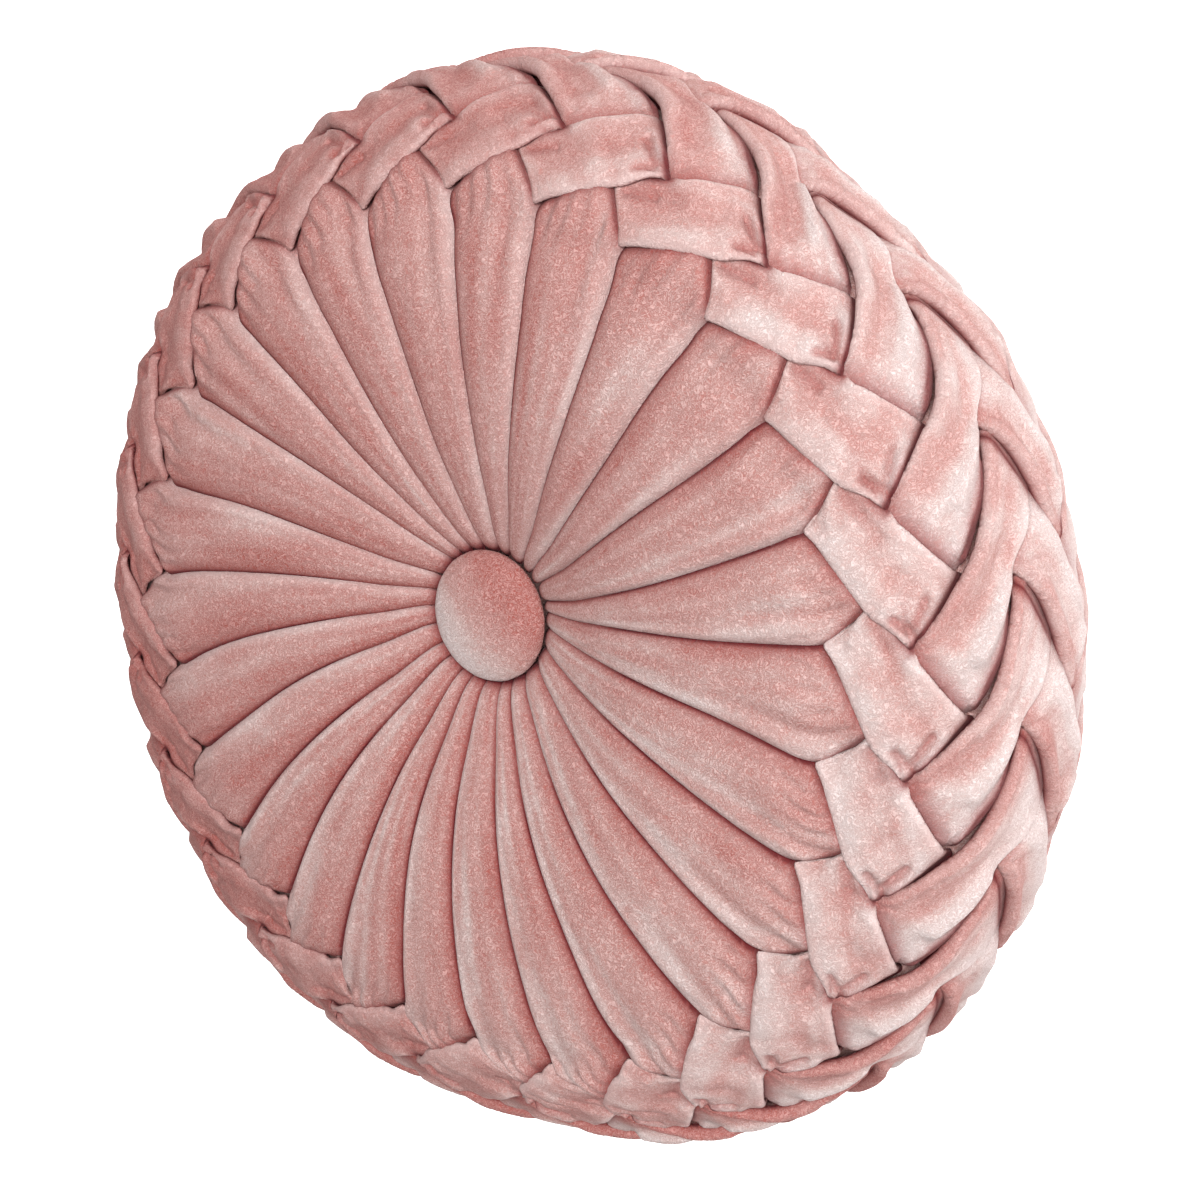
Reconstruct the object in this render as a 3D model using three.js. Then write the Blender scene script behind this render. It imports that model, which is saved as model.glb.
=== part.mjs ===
import * as THREE from 'three';

// Round pleated cushion, lying on its back. Millimetres, +Z up, the face looks up.
// One filled cover carries the front pleats, five rows of braided folds round the
// side and the back pleats. A covered button sits in the dimple of each face.

// Cushion sizes
const PLEATS = 26;
const RADIUS = 190;
const MID_HEIGHT = 57;
const RIM_IN = 42.7;
const RIM_UP = 52.9;
const RIM_START_DEG = -8.5;
const TIP_ONE_DEG = 92.5;

// The cover is a turned surface with this many columns of points to a pleat
const COLUMNS = 8;
const HALF = COLUMNS / 2;
const PITCH = (2 * Math.PI) / PLEATS;

// Face from the centre out: radius, height over the middle plane, depth of the
// groove between two pleats, drop of the pleat's shoulders
const FACE = [
  { radius: 0, height: 29.5, groove: 0.0, shoulder: 0.0 },
  { radius: 20, height: 30.0, groove: 0.5, shoulder: 0.2 },
  { radius: 27, height: 35.0, groove: 3.2, shoulder: 0.9 },
  { radius: 40, height: 45.0, groove: 5.0, shoulder: 1.4 },
  { radius: 60, height: 53.5, groove: 6.5, shoulder: 2.0 },
  { radius: 88, height: 59.0, groove: 7.5, shoulder: 2.6 },
  { radius: 113, height: 59.8, groove: 7.5, shoulder: 3.0 },
  { radius: 130, height: 57.0, groove: 7.0, shoulder: 3.4 },
];

// Where the columns of one pleat stand across it, and how much of the groove
// and of the shoulder drop each takes
const PLEAT_COLUMNS = [
  { across: 0.0, groove: 1.0, shoulder: 0.0 },
  { across: 0.07, groove: 0.3, shoulder: 1.0 },
  { across: 0.22, groove: 0.0, shoulder: 0.6 },
  { across: 0.4, groove: 0.0, shoulder: 0.1 },
  { across: 0.58, groove: 0.0, shoulder: 0.0 },
  { across: 0.75, groove: 0.0, shoulder: 0.3 },
  { across: 0.88, groove: 0.0, shoulder: 0.8 },
  { across: 0.96, groove: 0.3, shoulder: 1.2 },
];

// Edges between the rows of folds. Each is a zigzag round the side: it starts at
// the first point, turns at the turn column and ends one pleat further on.
// Along is in pleats, clockwise seen from the front, out is in mm of the side's
// curve from the tips of the front pleats
const EDGES = [
  { name: 'pleats and first row', along: -0.4, out: 10, turn: 3, turnAlong: -0.07, turnOut: -3 },
  { name: 'first and second row', along: 0.03, out: 23, turn: 4, turnAlong: 0.55, turnOut: 42 },
  { name: 'second and third row', along: -0.845, out: 74, turn: 4, turnAlong: -0.28, turnOut: 60 },
  { name: 'third and fourth row', along: -0.39, out: 85, turn: 4, turnAlong: 0.12, turnOut: 104 },
  { name: 'fourth and fifth row', along: -1.26, out: 136, turn: 4, turnAlong: -0.7, turnOut: 122 },
  { name: 'fifth row and back', along: -0.8, out: 148, turn: 4, turnAlong: -0.3, turnOut: 166 },
];

// Rows of folds: which column of the eight is the groove between two folds
const FOLD_ROWS = [
  { groove: 0, steps: 3 },
  { groove: HALF, steps: 3 },
  { groove: 0, steps: 3 },
  { groove: HALF, steps: 2 },
  { groove: 0, steps: 2 },
];

// Relief of a fold over the plain side: at its edge, in its groove and on its back
const EDGE_SINK = -4.6;
const GROOVE_SINK = -6;
const FOLD_LIFT = [0, -0.9, 0.5, 1.0, 1.0, 1.0, 0.5, -0.9];
const FOLD_RISE = 1.6;

// Covered buttons
const BUTTON_SEGMENTS = 40;
const BUTTON_BASE = 29.8;
const BUTTON = [
  { radius: 0, height: 0 },
  { radius: 12, height: 0 },
  { radius: 20.5, height: 1.2 },
  { radius: 22.6, height: 2.8 },
  { radius: 23, height: 4.4 },
  { radius: 22, height: 6.4 },
  { radius: 18.5, height: 8.6 },
  { radius: 13, height: 10.4 },
  { radius: 6.5, height: 11.4 },
  { radius: 0, height: 11.7 },
];

// Arc lengths along the side's half oval, from the tips of the front pleats
const ARC_STEPS = 720;
const ARC_TABLE = [];
{
  const start = THREE.MathUtils.degToRad(RIM_START_DEG);
  let length = 0;
  for (let i = 0; i <= ARC_STEPS; i += 1) {
    const turn = start + ((Math.PI - 2 * start) * i) / ARC_STEPS;
    ARC_TABLE.push({ turn, length });
    const slope = Math.hypot(RIM_IN * Math.cos(turn), RIM_UP * Math.sin(turn));
    length += (slope * (Math.PI - 2 * start)) / ARC_STEPS;
  }
}

// Point and outward direction on the side at an arc length
function sideAt(out) {
  const last = ARC_TABLE[ARC_STEPS];
  let turn = ARC_TABLE[0].turn + out / RIM_UP;
  if (out > 0) {
    const next = ARC_TABLE.findIndex((row) => row.length >= out);
    if (next < 0) {
      turn = last.turn + (out - last.length) / RIM_UP;
    } else {
      const a = ARC_TABLE[next - 1];
      const b = ARC_TABLE[next];
      turn = a.turn + ((b.turn - a.turn) * (out - a.length)) / (b.length - a.length);
    }
  }
  const normal = new THREE.Vector2(RIM_UP * Math.sin(turn), RIM_IN * Math.cos(turn)).normalize();
  return {
    radius: RADIUS - RIM_IN + RIM_IN * Math.sin(turn),
    height: RIM_UP * Math.cos(turn),
    normal,
  };
}

// Position on an edge zigzag at one of its columns
function edgeAt(edge, column) {
  if (column <= edge.turn) {
    const part = column / edge.turn;
    return {
      along: THREE.MathUtils.lerp(edge.along, edge.turnAlong, part),
      out: THREE.MathUtils.lerp(edge.out, edge.turnOut, part),
    };
  }
  const part = (column - edge.turn) / (COLUMNS - edge.turn);
  return {
    along: THREE.MathUtils.lerp(edge.turnAlong, edge.along + 1, part),
    out: THREE.MathUtils.lerp(edge.turnOut, edge.out, part),
  };
}

// Rows of the cover, front centre to back centre. Each gives for a column of the
// pleat its place along the rim in pleats, its radius and its height
const rows = [];

function faceRow(step, shift, side) {
  return (column) => {
    const across = (column - shift + COLUMNS) % COLUMNS;
    const wrap = column < shift ? -1 : 0;
    const place = PLEAT_COLUMNS[across];
    const base = side > 0 ? EDGES[0].turnAlong : EDGES[EDGES.length - 1].turnAlong;
    const drop = step.groove * place.groove + step.shoulder * place.shoulder;
    return {
      along: base + wrap + place.across,
      radius: step.radius,
      height: side * (step.height - drop),
    };
  };
}

for (const step of FACE) {
  rows.push(faceRow(step, EDGES[0].turn, 1));
}

FOLD_ROWS.forEach((fold, index) => {
  for (let step = index === 0 ? 0 : 1; step <= fold.steps; step += 1) {
    const part = step / fold.steps;
    const border = step === 0 || step === fold.steps;
    rows.push((column) => {
      const from = edgeAt(EDGES[index], column);
      const to = edgeAt(EDGES[index + 1], column);
      const out = THREE.MathUtils.lerp(from.out, to.out, part);
      const side = sideAt(out);
      const across = (column - fold.groove + COLUMNS) % COLUMNS;
      let lift = FOLD_LIFT[across] * FOLD_RISE;
      if (across === 0) {
        lift = GROOVE_SINK;
      }
      if (border) {
        lift = EDGE_SINK;
      }
      return {
        along: THREE.MathUtils.lerp(from.along, to.along, part),
        radius: side.radius + lift * side.normal.x,
        height: side.height + lift * side.normal.y,
      };
    });
  }
});

for (const step of FACE.slice().reverse()) {
  rows.push(faceRow(step, HALF, -1));
}

// The cover: a lathe whose points are moved to the rows' own places. The back's
// fullest parts are pressed flat on the plane the cushion lies on
function buildCover() {
  const profile = rows.map((row) => {
    const point = row(HALF);
    return new THREE.Vector2(point.radius, point.height);
  });
  const geometry = new THREE.LatheGeometry(profile, PLEATS * COLUMNS);
  const position = geometry.attributes.position;
  const first = THREE.MathUtils.degToRad(TIP_ONE_DEG);
  for (let i = 0; i <= PLEATS * COLUMNS; i += 1) {
    const column = i % COLUMNS;
    const pleat = Math.floor(i / COLUMNS) % PLEATS;
    rows.forEach((row, index) => {
      const point = row(column);
      const angle = first - (pleat + point.along) * PITCH;
      const height = Math.max(point.height + MID_HEIGHT, 0);
      position.setXYZ(
        i * rows.length + index,
        point.radius * Math.cos(angle),
        point.radius * Math.sin(angle),
        height,
      );
    });
  }
  return geometry;
}

function buildButton(side) {
  const profile = BUTTON.map((step) => new THREE.Vector2(step.radius, step.height));
  const geometry = new THREE.LatheGeometry(profile, BUTTON_SEGMENTS);
  geometry.rotateX(Math.PI / 2);
  if (side < 0) {
    geometry.rotateX(Math.PI);
  }
  geometry.translate(0, 0, MID_HEIGHT + side * BUTTON_BASE);
  return geometry;
}

const COLOURS = {
  cover: 0xc98d88,
  button: 0xc4847f,
};

function velvet(colour) {
  return new THREE.MeshStandardMaterial({ color: colour, roughness: 0.9, metalness: 0 });
}

const group = new THREE.Group();
group.name = 'pleated_cushion';

function add(name, geometry, colour) {
  const mesh = new THREE.Mesh(geometry, velvet(colour));
  mesh.name = name;
  group.add(mesh);
}

add('cushion_cover', buildCover(), COLOURS.cover);
add('front_button', buildButton(1), COLOURS.button);
add('back_button', buildButton(-1), COLOURS.button);

export default group;
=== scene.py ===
import math
from collections import namedtuple

import bmesh
import bpy
import numpy as np
from mathutils import Matrix, Vector


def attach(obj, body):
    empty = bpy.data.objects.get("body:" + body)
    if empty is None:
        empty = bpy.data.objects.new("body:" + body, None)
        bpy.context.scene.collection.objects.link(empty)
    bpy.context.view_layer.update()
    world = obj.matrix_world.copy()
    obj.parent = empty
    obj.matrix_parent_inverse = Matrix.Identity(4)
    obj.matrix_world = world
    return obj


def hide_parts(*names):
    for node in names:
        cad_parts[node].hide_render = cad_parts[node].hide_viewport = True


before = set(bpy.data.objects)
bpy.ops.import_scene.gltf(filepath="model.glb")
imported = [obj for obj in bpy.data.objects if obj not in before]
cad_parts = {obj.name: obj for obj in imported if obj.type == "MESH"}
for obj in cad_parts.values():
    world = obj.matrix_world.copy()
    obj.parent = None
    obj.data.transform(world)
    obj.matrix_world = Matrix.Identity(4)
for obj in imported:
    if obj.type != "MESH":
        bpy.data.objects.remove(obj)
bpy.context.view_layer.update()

bl_info = {
    "name": "Round pleated cushion",
    "version": (1, 0, 0),
    "blender": (4, 5, 0),
    "location": "View3D > Sidebar > Cushion",
    "description": "Dresses the round pleated cushion in velvet pleats and a braid of smocked folds",
    "category": "Add Mesh",
}

MM = 0.001
TURN = 2.0 * math.pi

# Sizes shared with the part's source, in millimetres. Its angles are in degrees.
PLEATS = 26
PITCH = TURN / PLEATS
TIP_ONE = math.radians(92.5)
RADIUS = 190.0
MID_HEIGHT = 57.0
RIM_IN = 42.7
RIM_UP = 52.9
RIM_START = math.radians(-8.5)
BUTTON_BASE = 29.8

# The button's thread pulls the middle of the face a little off centre.
PULL_RIGHT = -1.5
PULL_UP = 8.0

# How far the cloth's own ground lies under the outline of the part, on the
# faces, and how much deeper it lies round the side.
GROUND = -1.6
SIDE_DEEPER = 2.1

# Where the cloth's own ground gets deeper at both edges of the side, in
# millimetres out from the ring of pleat tips.
SIDE_FROM = 6.0
SIDE_FULL = 42.0

# The radius of the ring of pleat tips, the radii between which a face leans
# towards its button, and the further pull on the cloth right beside the button.
TIP_RADIUS = 141.0
LEAN_OUTER = 133.0
LEAN_INNER = 26.0
BESIDE_PULL = 0.165
BESIDE_INNER = 24.0
BESIDE_OUTER = 45.0

# Points along the profile of the ground, and how often it is smoothed.
FACE_STEPS = 142
RIM_STEPS = 90
SMOOTHINGS = 14

# A place round the cushion in pitches, its width, and how much happens there:
# the outline is pressed in and the ring of tips moves out, both in millimetres,
# and the braid shifts round in pitches.
Spot = namedtuple("Spot", "turn width amount")
PRESSED_IN = [Spot(13.9, 1.9, 7.6), Spot(24.7, 0.9, 2.6)]
REAR_PRESSED_IN = [Spot(4.0, 0.75, 4.4)]
RING_SPOTS = [Spot(14.3, 1.0, -2.5), Spot(12.0, 1.0, 2.0)]
BRAID_SPOTS = [Spot(9.3, 1.6, 0.10), Spot(13.6, 1.5, -0.36)]

# The radii between which the outline gets pressed in, and how far in and how far
# out from the ring of tips the sewn rings wander, all in millimetres.
PRESS_FROM = 120.0
PRESS_FULL = 185.0
DRIFT_IN = 55.0
DRIFT_OUT = 110.0

# A wave round the cushion: how often it repeats, and its cosine and sine parts.
# The ring moves out in millimetres, and the tips and grooves round in pitches.
Wave = namedtuple("Wave", "times cosine sine")
RING_WAVES = [Wave(0, 1.2, 0.0), Wave(1, 4.5, 1.7), Wave(2, 5.2, -1.5), Wave(3, -1.2, 2.1)]
TIP_WAVES = [Wave(0, 0.14, 0.0), Wave(1, 0.02, 0.05), Wave(2, 0.06, -0.12)]
GROOVE_WAVES = [Wave(0, 0.63, 0.0), Wave(1, 0.0, -0.28), Wave(2, 0.19, -0.10), Wave(3, -0.06, 0.07)]

# The profile of a face, as levels over the middle of the cushion.
Face = namedtuple("Face", "radius level")
FACE = [
    Face(0.0, 27.0),
    Face(14.0, 27.4),
    Face(19.0, 31.8),
    Face(24.0, 36.6),
    Face(31.0, 40.2),
    Face(40.0, 43.6),
    Face(60.0, 50.4),
    Face(88.0, 55.6),
    Face(113.0, 56.8),
    Face(128.0, 56.0),
    Face(136.0, 54.2),
]

# One long edge of a fold. Along runs from 0 to 1, turn is in pitches from the
# fold's own pleat and out is in millimetres from the ring of pleat tips. Tuck
# is how far the edge goes on under its neighbour, height is the middle of the
# cloth over the ground, and lip is the radius of the rolled edge.
Edge = namedtuple("Edge", "along turn out tuck height lip")
# A soft ridge or valley in a fold, from one place to another.
Swell = namedtuple("Swell", "turn out to_turn to_out rise width")
# A place where the cloth is gathered by a hidden stitch.
Gather = namedtuple("Gather", "turn out rise waves reach dip")

FIRST_TOP = [
    Edge(0.00, -0.12, -3.4, 0.0, 1.3, 1.7),
    Edge(0.10, 0.03, -0.2, 0.0, 1.7, 1.8),
    Edge(0.22, 0.16, 2.0, 0.0, 1.8, 1.8),
    Edge(0.45, 0.40, 6.4, 0.0, 1.9, 1.8),
    Edge(0.60, 0.56, 9.6, 0.0, 1.9, 1.9),
    Edge(0.72, 0.72, 13.2, 0.0, 1.8, 1.8),
    Edge(0.84, 0.88, 19.6, 0.0, 1.2, 1.6),
    Edge(0.92, 1.01, 23.4, 0.0, 0.2, 1.5),
    Edge(1.00, 1.12, 27.0, 0.0, -4.0, 1.4),
]
FIRST_LOW = [
    Edge(0.00, -0.50, 17.4, 0.0, -2.6, 1.5),
    Edge(0.10, -0.34, 18.0, 1.0, -3.0, 1.5),
    Edge(0.26, -0.12, 19.9, 3.8, -2.0, 1.4),
    Edge(0.40, 0.01, 23.4, 2.4, -2.0, 1.4),
    Edge(0.48, 0.09, 25.8, 0.0, 0.4, 1.5),
    Edge(0.58, 0.18, 28.4, 0.0, 1.4, 1.7),
    Edge(0.72, 0.31, 32.4, 0.0, 1.6, 1.8),
    Edge(0.86, 0.44, 37.2, 0.0, 1.2, 1.8),
    Edge(0.94, 0.54, 42.0, 0.0, -0.8, 1.5),
    Edge(1.00, 0.60, 47.0, 0.0, -4.5, 1.4),
]
SECOND_TOP = [
    Edge(0.00, 1.12, 18.0, 0.0, -4.5, 2.0),
    Edge(0.10, 1.01, 23.2, 0.0, -1.6, 2.0),
    Edge(0.22, 0.79, 32.4, 0.0, 1.4, 2.4),
    Edge(0.34, 0.61, 39.4, 0.0, 2.2, 2.7),
    Edge(0.48, 0.47, 45.2, 0.0, 2.6, 3.0),
    Edge(0.64, 0.22, 51.8, 0.0, 2.2, 3.0),
    Edge(0.78, -0.05, 57.0, 0.0, 1.3, 2.6),
    Edge(0.90, -0.26, 61.2, 0.0, -0.6, 2.2),
    Edge(1.00, -0.42, 66.0, 0.0, -4.5, 2.0),
]
SECOND_LOW = [
    Edge(0.00, 1.62, 36.0, 0.0, -4.5, 2.0),
    Edge(0.09, 1.53, 41.2, 1.0, -2.6, 2.0),
    Edge(0.25, 1.31, 46.6, 4.0, -1.8, 2.0),
    Edge(0.42, 1.05, 53.4, 4.0, -1.8, 2.0),
    Edge(0.55, 0.76, 58.0, 1.6, -1.2, 1.8),
    Edge(0.66, 0.60, 60.8, 0.0, 0.4, 1.8),
    Edge(0.78, 0.43, 66.6, 0.0, 1.2, 2.0),
    Edge(0.90, 0.23, 73.2, 0.0, -0.4, 1.8),
    Edge(1.00, 0.06, 80.0, 0.0, -4.5, 1.6),
]
THIRD_TOP = [
    Edge(0.00, -0.48, 52.0, 0.0, -4.8, 2.0),
    Edge(0.12, -0.36, 60.0, 0.0, -0.8, 2.4),
    Edge(0.30, -0.17, 67.2, 0.0, 2.2, 3.2),
    Edge(0.50, 0.10, 73.2, 0.0, 2.6, 3.4),
    Edge(0.70, 0.33, 77.6, 0.0, 1.8, 2.9),
    Edge(0.88, 0.60, 85.2, 0.0, -0.8, 2.2),
    Edge(1.00, 0.76, 91.0, 0.0, -4.5, 2.0),
]
THIRD_LOW = [
    Edge(0.00, -1.00, 68.0, 0.0, -4.5, 2.0),
    Edge(0.12, -0.87, 74.6, 2.0, -3.0, 2.0),
    Edge(0.30, -0.68, 78.6, 4.0, -1.8, 2.0),
    Edge(0.47, -0.42, 84.6, 1.6, -1.4, 1.8),
    Edge(0.60, -0.24, 90.0, 0.0, 0.6, 1.8),
    Edge(0.76, -0.04, 97.0, 0.0, 1.2, 2.0),
    Edge(0.90, 0.12, 105.0, 0.0, -0.8, 1.8),
    Edge(1.00, 0.24, 112.0, 0.0, -4.5, 1.6),
]
FIRST_SWELLS = [
    Swell(-0.12, 9.0, 0.60, 26.0, -1.0, 5.5),
    Swell(0.10, 5.0, 0.70, 19.0, 0.9, 3.5),
    Swell(-0.26, 12.5, -0.02, 16.0, -1.5, 1.9),
    Swell(-0.02, 16.0, 0.16, 20.0, -0.8, 2.4),
    Swell(-0.30, 9.0, -0.12, 7.0, 0.7, 2.4),
    Swell(0.93, 24.6, 0.66, 33.0, 1.9, 2.2),
    Swell(0.62, 15.0, 0.44, 22.0, -0.7, 2.8),
    Swell(0.97, 27.2, 0.75, 19.6, -2.4, 1.3),
    Swell(0.66, 30.0, 0.86, 24.5, -1.8, 1.4),
    Swell(0.20, 30.5, 0.10, 22.0, 0.6, 2.5),
    Swell(0.36, 34.0, 0.52, 27.0, -0.7, 3.0),
]
SECOND_SWELLS = [
    Swell(0.70, 56.0, 1.10, 44.5, 2.6, 2.8),
    Swell(0.84, 57.5, 1.24, 47.0, -1.4, 1.9),
    Swell(0.94, 57.0, 1.38, 44.0, 2.2, 3.8),
    Swell(0.50, 57.0, 0.92, 39.0, -2.6, 4.6),
    Swell(0.30, 53.0, 0.62, 44.0, 0.9, 3.0),
    Swell(0.14, 62.0, 0.36, 59.0, -1.3, 3.5),
    Swell(0.56, 62.0, 0.34, 68.0, 1.0, 2.6),
]
THIRD_SWELLS = [
    Swell(-0.34, 72.0, 0.16, 84.0, -2.5, 4.4),
    Swell(-0.44, 78.0, -0.06, 88.0, 1.6, 3.0),
    Swell(-0.60, 76.0, -0.34, 84.0, 1.2, 2.6),
    Swell(0.36, 84.0, 0.20, 92.0, 1.2, 2.4),
    Swell(0.28, 82.0, 0.44, 86.0, -1.1, 2.2),
]
FIRST_GATHERS = [Gather(1.01, 24.4, 0.95, 9.0, 6.5, -0.6)]
SECOND_GATHERS = [
    Gather(1.03, 22.6, 0.5, 9.0, 5.0, -0.8),
    Gather(1.53, 41.5, 0.7, 9.0, 4.5, -2.4),
    Gather(-0.27, 60.6, 0.5, 8.0, 4.5, -1.6),
]
THIRD_GATHERS = [
    Gather(0.60, 85.0, 0.6, 8.0, 5.0, -1.4),
    Gather(-0.37, 60.0, 0.5, 8.0, 4.5, -2.0),
]

# Where the next row's rolled edge lies across the end of a fold; the fold gets painted shade beside that
# line.
Cover = namedtuple("Cover", "turn out to_turn to_out")
SECOND_OVER = Cover(1.02, 22.6, 0.50, 44.4)
THIRD_OVER = Cover(-0.37, 59.0, 0.30, 77.4)
FOURTH_OVER = Cover(0.60, 85.0, 0.08, 107.0)

# A row of folds: its tables, what covers its ends, its steps along a fold, how
# much painted light makes it paler to the right and painted shade darker to the
# left, how much further round and out it lies than its tables say, whether it
# ends in a rolled lip, how full it is, and how many millimetres its two edges are
# drawn up at the left of the cushion.
Row = namedtuple(
    "Row",
    "top low swells gathers cover rings sheen turn out end_lip fullness up_top up_low",
    defaults=(0.0, 0.0, False, 1.0, 0.0, 0.0),
)
FIRST = Row(
    FIRST_TOP, FIRST_LOW, FIRST_SWELLS, FIRST_GATHERS, SECOND_OVER,
    rings=78, sheen=1.0, end_lip=True, up_low=4.0,
)
SECOND = Row(
    SECOND_TOP, SECOND_LOW, SECOND_SWELLS, SECOND_GATHERS, THIRD_OVER,
    rings=74, sheen=1.4, up_top=3.5,
)
THIRD = Row(
    THIRD_TOP, THIRD_LOW, THIRD_SWELLS, THIRD_GATHERS, FOURTH_OVER, rings=60, sheen=1.4,
)
# The fourth and fifth rows repeat the second and the third, one step further on.
STEP = {"turn": -0.416, "out": 62.5, "fullness": 0.45, "sheen": 1.7}
ROWS = {
    "first": FIRST,
    "second": SECOND,
    "third": THIRD,
    "fourth": SECOND._replace(rings=42, up_top=0.0, **STEP),
    "fifth": THIRD._replace(rings=38, end_lip=True, **STEP),
}

# Points of a fold or pleat: round its section, over its top and over a lip, and
# the steps in which its two ends close.
TOP_STEPS = 28
FOLD_AROUND = 46
FOLD_LIP_STEPS = 6
FOLD_ENDS = 5
PLEAT_AROUND = 42
PLEAT_LIP_STEPS = 5
PLEAT_ENDS = (0.0, 0.45, 0.8)

# A swell narrower than this gets painted shade in its valley as a crease does, in millimetres.
NARROW_SWELL = 2.0
# How deep and how wide the groove beside a rolled edge is, and how far in.
ROLL_SOFT = 0.2
ROLL_DEEP = 0.65
ROLL_IN = 5.0
ROLL_WIDTH = 1.9
# How far the ends of the last row sink under the back.
BACK_SINK = 6.0

# How the pleats of a face end under the braid: the share of its width at which a
# pleat's end is furthest out, how far that is, and where its first groove lies.
Ends = namedtuple("Ends", "notch out first")
FRONT = Ends(0.69, 12.4, -0.09)
BACK = Ends(0.49, 15.5, -0.30)
# A pleat's end at its two edges, and its width there, in millimetres. It starts
# at a radius under the button, and goes on under the braid and its neighbour.
TIP_OUT = -2.7
TIP_WIDTH = 34.0
UNDER_BUTTON = 20.5
UNDER_BRAID = 7.0
UNDER_NEIGHBOUR = 3.2

# A long soft ridge or valley along a pleat, so far from its left or right edge.
# The seeds vary how far in it lies and how high it is from pleat to pleat.
Ridge = namedtuple("Ridge", "edge far_in wander width rise spread far_seed rise_seed")
RIDGES = [
    Ridge("right", 9.5, 1.6, 2.8, -0.9, -0.6, 9, 3),
    Ridge("right", 5.0, 0.0, 2.6, 0.7, 0.0, 0, 0),
    Ridge("left", 12.0, 2.0, 2.6, -0.5, -0.5, 6, 4),
]
# The ridges of a pleat begin and are full at so many millimetres out.
DEEP_FROM = -46.0
DEEP_FULL = -4.0

# Steps of the bag of filling along its profile and round it, how many millimetres
# it lies under the cloth's own ground, and the steps along a pleat of the back.
FILLING_STEPS = 70
FILLING_AROUND = 104
FILLING_DEEP = 5.5
BACK_RINGS = 48

# A covered button: which piece stands for which node, and which way it faces.
Button = namedtuple("Button", "piece node way")
BUTTONS = (
    Button("front_covered_button", "front_button", 1),
    Button("back_covered_button", "back_button", -1),
)
# The button's rim as a share of its height, how round its dome is, how much its
# rim is tucked in below, its puckers, and the painted sheen across it, paler
# towards its lower left and darker towards its upper right.
BUTTON_SPOKES = 72
BUTTON_RINGS = 48
BUTTON_EDGE = 0.40
BUTTON_ROUND = 2.2
BUTTON_TUCK = 0.06
BUTTON_PUCKERS = 14
BUTTON_PUCKER = 0.0125
BUTTON_PAINTED_SHEEN = 0.15
BUTTON_SHEEN_SLOPE = 3.06

# How high the brushed pile and the painted light must add up before the two palest colours show.
LIGHT_FROM = 0.6
FROST_FROM = 0.92

# How strongly the grain, the brushed clouds and the streaks of a velvet show.
Brush = namedtuple("Brush", "grain cloud streak")
BRUSHES = {"cover_velvet": Brush(0.6, 0.6, 0.4), "fold_velvet": Brush(0.5, 0.35, 0.35)}

# A lamp's place to the right, up and towards the camera, its width, both in
# metres, and the setting that holds its power.
Lamp = namedtuple("Lamp", "name spot width power")
LAMPS = (
    Lamp("main_light", (-0.12, 0.08, 1.43), 0.6, "key"),
    Lamp("side_light", (1.40, -0.12, 0.65), 0.7, "side"),
)
ROOM_LIGHT = 0.25
FLOOR_COLOUR = (0.93, 0.93, 0.93)
FLOOR_ROUGH = 0.9
FLOOR_GLOW = 0.68
FLOOR_HALF = 6.0


def smooth_curve(at, xs, ys):
    """A smooth curve through a short table, read at many places."""
    xs = np.asarray(xs, float)
    ys = np.asarray(ys, float)
    slopes = np.gradient(ys, xs)
    at = np.clip(at, xs[0], xs[-1])
    spot = np.clip(np.searchsorted(xs, at, side="right") - 1, 0, len(xs) - 2)
    gap = xs[spot + 1] - xs[spot]
    x = (at - xs[spot]) / gap
    first = 2 * x**3 - 3 * x**2 + 1
    last = 3 * x**2 - 2 * x**3
    rise = (x**3 - 2 * x**2 + x) * gap
    fall = (x**3 - x**2) * gap
    return first * ys[spot] + last * ys[spot + 1] + rise * slopes[spot] + fall * slopes[spot + 1]


def read(rows, column, at):
    """One column of a table of edges, read smoothly along the edge."""
    return smooth_curve(at, [row.along for row in rows], [getattr(row, column) for row in rows])


def ease(x, low, high):
    """0 below low, 1 above high and smooth between."""
    x = np.clip((x - low) / (high - low), 0.0, 1.0)
    return x * x * (3.0 - 2.0 * x)


def hump(x, middle, width):
    """A smooth hump of height 1."""
    return np.exp(-(((x - middle) / width) ** 2))


def fade(x, reach):
    """1 up to 0, and falling away beyond it."""
    return np.exp(-np.maximum(x, 0.0) / reach)


def bump(x, middle, width):
    """A smooth hump of height 1, that repeats each turn of the cushion."""
    gap = (x - middle + PLEATS / 2) % PLEATS - PLEATS / 2
    return hump(gap, 0.0, width)


def bumps(turn, spots):
    """All the humps of a table of spots."""
    return sum(spot.amount * bump(turn, spot.turn, spot.width) for spot in spots)


def waves(angle, rows):
    """All the waves of a table, at an angle round the cushion."""
    return sum(
        row.cosine * np.cos(row.times * angle) + row.sine * np.sin(row.times * angle) for row in rows
    )


def make_ground():
    """The profile under the cloth: distance out from the pleat tips, radius and height."""
    radii = np.linspace(0.0, TIP_RADIUS, FACE_STEPS)
    start = RADIUS - RIM_IN + RIM_IN * math.sin(RIM_START)
    face_r = [row.radius for row in FACE] + [start]
    face_z = [row.level for row in FACE] + [RIM_UP * math.cos(RIM_START)]
    levels = smooth_curve(radii, face_r, face_z)
    turns = np.linspace(RIM_START, math.pi / 2, RIM_STEPS)[1:]
    r = np.concatenate([radii, RADIUS - RIM_IN + RIM_IN * np.sin(turns)])
    z = np.concatenate([levels, RIM_UP * np.cos(turns)])
    for _ in range(SMOOTHINGS):
        r[1:-1] = (r[:-2] + 2 * r[1:-1] + r[2:]) / 4
        z[1:-1] = (z[:-2] + 2 * z[1:-1] + z[2:]) / 4
    arc = np.concatenate([[0.0], np.cumsum(np.hypot(np.diff(r), np.diff(z)))])
    arc -= np.interp(start, r[: len(radii) + 1], arc[: len(radii) + 1])
    half = arc[-1]
    arc = np.concatenate([arc, 2 * half - arc[-2::-1]])
    r = np.concatenate([r, r[-2::-1]])
    z = np.concatenate([z, -z[-2::-1]])
    return arc, r, z, half


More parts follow.
